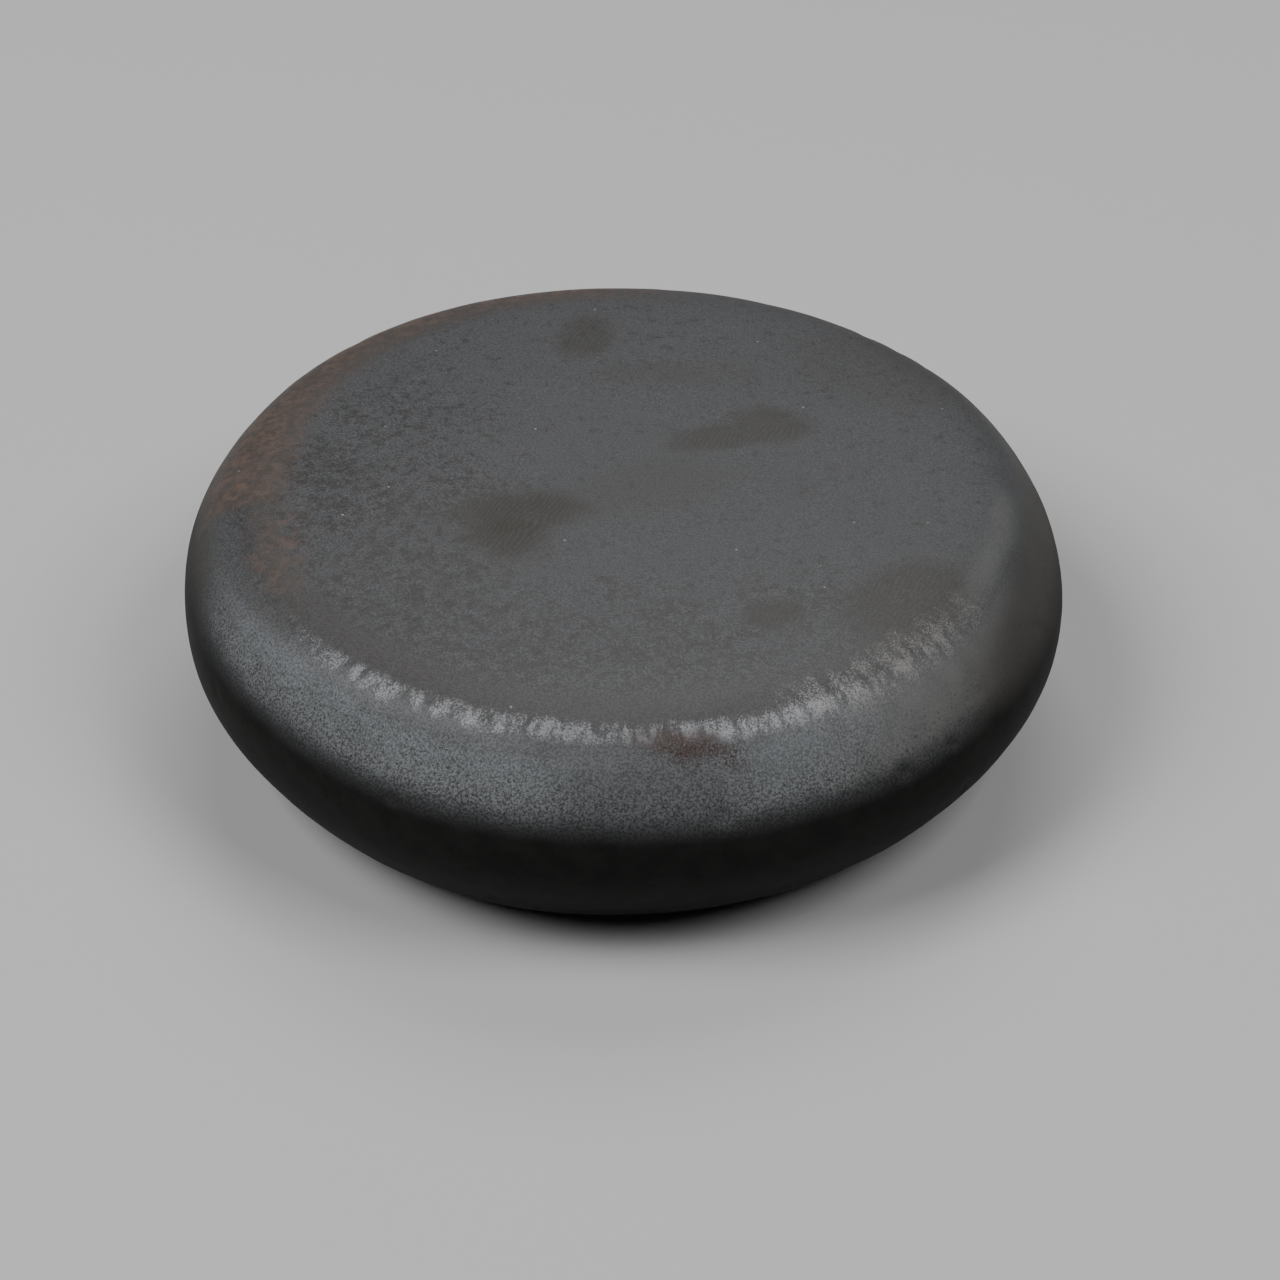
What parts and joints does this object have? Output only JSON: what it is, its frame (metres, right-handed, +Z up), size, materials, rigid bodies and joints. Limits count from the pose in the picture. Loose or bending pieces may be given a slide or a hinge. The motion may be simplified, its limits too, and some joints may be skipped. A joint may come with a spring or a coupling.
{
  "type": "basalt massage stone",
  "caption": "Round, flattened basalt pebble with a broad gently domed crown, a worn shoulder and a bevelled rim, heated and laid on the body or held for massage.",
  "frame": {"origin": "middle of the box's bottom, on the flat the stone rests on", "axes": "+Z up through the crown, +X to the right and +Y to the back as the stone lies in the picture"},
  "size_m": [0.086, 0.0888, 0.0265],
  "materials": {
    "basalt": "dark grey basalt with a satin, oiled sheen, fine grain and pits, and faint copper-brown staining towards one rim"
  },
  "bodies": {
    "root": {"basalt_stone": "basalt"}
  },
  "joints": []
}
